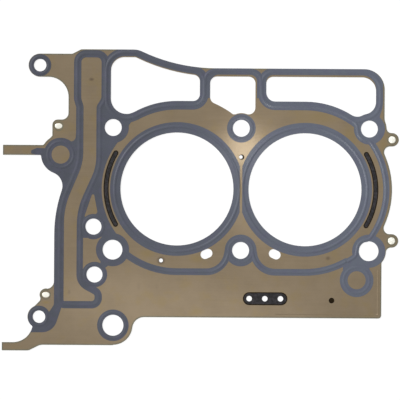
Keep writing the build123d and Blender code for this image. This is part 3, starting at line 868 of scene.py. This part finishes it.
class GASKET_OT_rivets(bpy.types.Operator):
    """Turn the four domed rivets"""

    bl_idname = "gasket.rivets"
    bl_label = "Rivets"

    def execute(self, context):
        sizes = context.scene.gasket_sizes
        steel = finish_of("turned_rivet_steel", rivet_steel, context.scene.gasket_finishes)
        head = sizes.rivet_head / 2
        rise = RIVET_TOP - SHEET_TOP
        for name in RIVETS:
            low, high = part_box(name)
            centre = (low + high) / 2 / MM
            bm = bmesh.new()
            outline = [(0.0, 0.0), (sizes.rivet_foot / 2, 0.0), (sizes.rivet_shank / 2, BLOCK_TOP)]
            outline += [(sizes.rivet_shank / 2, SHEET_TOP), (head, SHEET_TOP)]
            for step in range(DOME_STEPS + 1):
                turn = math.pi / 2 * step / DOME_STEPS
                level = SHEET_TOP + sizes.rivet_rim + (rise - sizes.rivet_rim) * math.sin(turn)
                outline.append((head * math.cos(turn) ** DOME_FULLNESS, level))
            verts = [bm.verts.new((centre.x + side, centre.y, level)) for side, level in outline]
            edges = [bm.edges.new(pair) for pair in zip(verts, verts[1:])]
            bmesh.ops.spin(
                bm,
                geom=[*verts, *edges],
                cent=(centre.x, centre.y, 0.0),
                axis=(0.0, 0.0, 1.0),
                angle=2 * math.pi,
                steps=sizes.facets // 2,
                use_merge=True,
            )
            timing = "timing" in name
            squash = TIMING_SQUASH if timing else FLYWHEEL_SQUASH
            for vert in bm.verts:
                if vert.co.z < SHEET_TOP - 0.01:
                    continue
                aside = Vector((vert.co.x - centre.x, vert.co.y - centre.y))
                vert.co.x = centre.x + aside.x * squash[0]
                vert.co.y = centre.y + aside.y * squash[1]
                if not timing:
                    notch = max(0.0, math.cos(STAR_POINTS * math.atan2(aside.y, aside.x))) ** 2
                    onset = min(1.0, aside.length / head * STAR_ONSET)
                    vert.co.z -= (vert.co.z - SHEET_TOP) * STAR_DEPTH * notch * onset
            piece = piece_from(bm, "domed_" + name, steel, smooth=35.0)
            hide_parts(name)
        return {"FINISHED"}


class GASKET_OT_edges(bpy.types.Operator):
    """Lay the darker rolled edge along the outline, the crease beside it, the painted shade inside the
    small holes and the rims round the rivets
    """

    bl_idname = "gasket.edges"
    bl_label = "Edges and lips"

    def execute(self, context):
        sizes = context.scene.gasket_sizes
        edge = finish_of("rolled_edge_coating", rolled_edge, context.scene.gasket_finishes)
        tan = finish_of("rolled_tan_coating", tan_coating, context.scene.gasket_finishes)
        pit = finish_of("pit_black", pit_black, context.scene.gasket_finishes)
        outline = sheet_rims(HEAD_LAYER, SHEET_TOP)[-1][3]
        low = SHEET_TOP - sizes.sunk
        section = hump(sizes.edge_width, sizes.edge_height, low, steps=4, base=SHEET_TOP)
        bm = bmesh.new()
        follow(bm, section, outline, -sizes.edge_width / 2 - EDGE_GAP)
        piece_from(bm, "edge_outline", edge)
        right = RIGHT_EDGE - sizes.crease_inset
        bottom = LOWER_EDGE + sizes.crease_inset
        section = hump(sizes.crease_width, sizes.crease_height, low, steps=6, base=SHEET_TOP)
        bm = bmesh.new()
        path = (
            (right, CREASE_START_Y, 0.0),
            (right, bottom, sizes.crease_corner),
            (CREASE_END_X, bottom, 0.0),
        )
        sweep(bm, section, path)
        piece_from(bm, "crease_lower_right", tan)
        # Painted shade: dark rings on the walls inside the pin hole and the vent hole
        for name, centre, radius, width in HOLE_SHADES:
            base = SHEET_TOP - HOLE_SHADE_DEPTH
            section = hump(width, sizes.seat_and_shade_height, HOLE_SHADE_BOTTOM, steps=4, base=base)
            bm = bmesh.new()
            ring(bm, section, centre, radius, sizes.facets // 2)
            piece_from(bm, name, pit)
        section = hump(sizes.edge_width, sizes.seat_and_shade_height, low, steps=4, base=SHEET_TOP)
        for name in RIVETS:
            corner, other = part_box(name)
            centre = (corner + other).xy / 2 / MM
            bm = bmesh.new()
            ring(bm, section, centre, sizes.seat_radius, sizes.facets // 2)
            piece_from(bm, "seat_" + name, edge)
        return {"FINISHED"}


class GASKET_OT_pits(bpy.types.Operator):
    """Shade the rims inside the slots and the window, and the floor of the blind hole"""

    bl_idname = "gasket.pits"
    bl_label = "Shaded pits"

    def execute(self, context):
        sizes = context.scene.gasket_sizes
        pit = finish_of("pit_black", pit_black, context.scene.gasket_finishes)
        low = BLOCK_TOP - sizes.sunk
        section = hump(sizes.pit_rim, sizes.edge_height, low, steps=4, base=BLOCK_TOP)
        for name, inside in (
            ("shade_slot_timing_side", (-ARC_SLOT_X, 0.0)),
            ("shade_slot_flywheel_side", (ARC_SLOT_X, 0.0)),
            ("shade_metering_window", METERING_WINDOW),
        ):
            bm = bmesh.new()
            rim = opening_rim(HEAD_LAYER, SHEET_TOP, inside)
            follow(bm, section, rim, -sizes.pit_rim / 2 - PIT_GAP)
            piece_from(bm, name, pit)
        bm = bmesh.new()
        bmesh.ops.create_cone(
            bm,
            cap_ends=True,
            segments=32,
            radius1=sizes.pit_radius,
            radius2=sizes.pit_radius - sizes.pit_taper,
            depth=sizes.pit_height,
            matrix=Matrix.Translation((*BLIND_HOLE, BLOCK_TOP)),
        )
        piece_from(bm, "shade_blind_hole", pit)
        return {"FINISHED"}


class GASKET_OT_stage(bpy.types.Operator):
    """Set the pale floor, the lights and the camera"""

    bl_idname = "gasket.stage"
    bl_label = "Stage"

    def execute(self, context):
        stage = context.scene.gasket_stage
        scene = context.scene
        world = bpy.data.worlds.new("studio")
        world.use_nodes = True
        world.node_tree.nodes["Background"].inputs["Color"].default_value = (1.0, 1.0, 1.0, 1.0)
        world.node_tree.nodes["Background"].inputs["Strength"].default_value = stage.sky
        scene.world = world
        scene.view_settings.view_transform = "Standard"
        bm = bmesh.new()
        bmesh.ops.create_grid(bm, x_segments=1, y_segments=1, size=stage.floor_size / 2 * MM)
        bmesh.ops.translate(bm, verts=bm.verts, vec=(0.0, 0.0, -stage.floor_drop * MM))
        mesh = bpy.data.meshes.new("floor")
        bm.to_mesh(mesh)
        bm.free()
        mesh.materials.append(pale_floor(stage))
        floor = bpy.data.objects.new("floor", mesh)
        scene.collection.objects.link(floor)
        centre = Vector((stage.centre_x, stage.centre_y, 0.0)) * MM
        eye = centre + Vector((0.0, 0.0, stage.height * MM))
        lens = bpy.data.cameras.new("camera")
        lens.lens = stage.focal_length
        lens.sensor_width = 36.0
        lens.clip_start = 0.05
        lens.clip_end = 20.0
        camera = bpy.data.objects.new("camera", lens)
        camera.location = eye
        camera.rotation_euler = (0.0, 0.0, stage.roll)
        scene.collection.objects.link(camera)
        scene.camera = camera
        key = lamp("SUN", "key_light", stage.key_power, centre + Vector(KEY_DIRECTION), centre)
        key.angle = stage.key_softness
        for name, shape, width in (
            ("glint", "DISK", stage.glint_size),
            ("low", "ELLIPSE", stage.low_width),
        ):
            x, y, height, power = settings_of(stage, name, "x", "y", "height", "power")
            target = Vector((x, y, 0.0)) * MM
            place = target + (target - eye) * (height / stage.height)
            place.z = height * MM
            light = lamp("AREA", name + "_light", power, place, target)
            light.shape = shape
            light.size = width * MM
            light.size_y = width * MM / 4
        for name in ("ridge", "bead"):
            x, y, power, cone = settings_of(stage, name, "x", "y", "power", "cone")
            place = Vector((x, y, stage.spot_height)) * MM
            target = Vector((*settings_of(stage, name, "aim_x", "aim_y"), 0.0)) * MM
            spot = lamp("SPOT", name + "_light", power, place, target)
            spot.spot_size = cone
            spot.spot_blend = 1.0
            spot.shadow_soft_size = stage.spot_size * MM
        return {"FINISHED"}


STEPS = (
    GASKET_OT_sheets,
    GASKET_OT_print,
    GASKET_OT_bore_beads,
    GASKET_OT_window_ridges,
    GASKET_OT_line_ridges,
    GASKET_OT_ring_ridges,
    GASKET_OT_rivets,
    GASKET_OT_edges,
    GASKET_OT_pits,
    GASKET_OT_stage,
)


class GASKET_PT_panel(bpy.types.Panel):
    """The gasket's sizes, finishes and steps"""

    bl_idname = "GASKET_PT_panel"
    bl_label = "Head gasket"
    bl_space_type = "VIEW_3D"
    bl_region_type = "UI"
    bl_category = "Gasket"

    def draw(self, context):
        scene = context.scene
        for title, group in (
            ("Finishes", scene.gasket_finishes),
            ("Sizes", scene.gasket_sizes),
            ("Stage", scene.gasket_stage),
        ):
            box = self.layout.box()
            box.label(text=title)
            for name in group.__annotations__:
                box.prop(group, name)
        column = self.layout.column()
        for step in STEPS:
            column.operator(step.bl_idname)


GROUPS = (
    (GasketFinishes, "gasket_finishes"),
    (GasketSizes, "gasket_sizes"),
    (GasketStage, "gasket_stage"),
)


def register():
    for group, name in GROUPS:
        bpy.utils.register_class(group)
        setattr(bpy.types.Scene, name, PointerProperty(type=group))
    for step in STEPS:
        bpy.utils.register_class(step)
    bpy.utils.register_class(GASKET_PT_panel)


def unregister():
    bpy.utils.unregister_class(GASKET_PT_panel)
    for step in reversed(STEPS):
        bpy.utils.unregister_class(step)
    for group, name in reversed(GROUPS):
        delattr(bpy.types.Scene, name)
        bpy.utils.unregister_class(group)


def main():
    """Dresses the gasket."""
    register()
    for step in STEPS:
        family, name = step.bl_idname.split(".")
        getattr(getattr(bpy.ops, family), name)()
    bpy.context.view_layer.update()


if __name__ == "__main__":
    main()
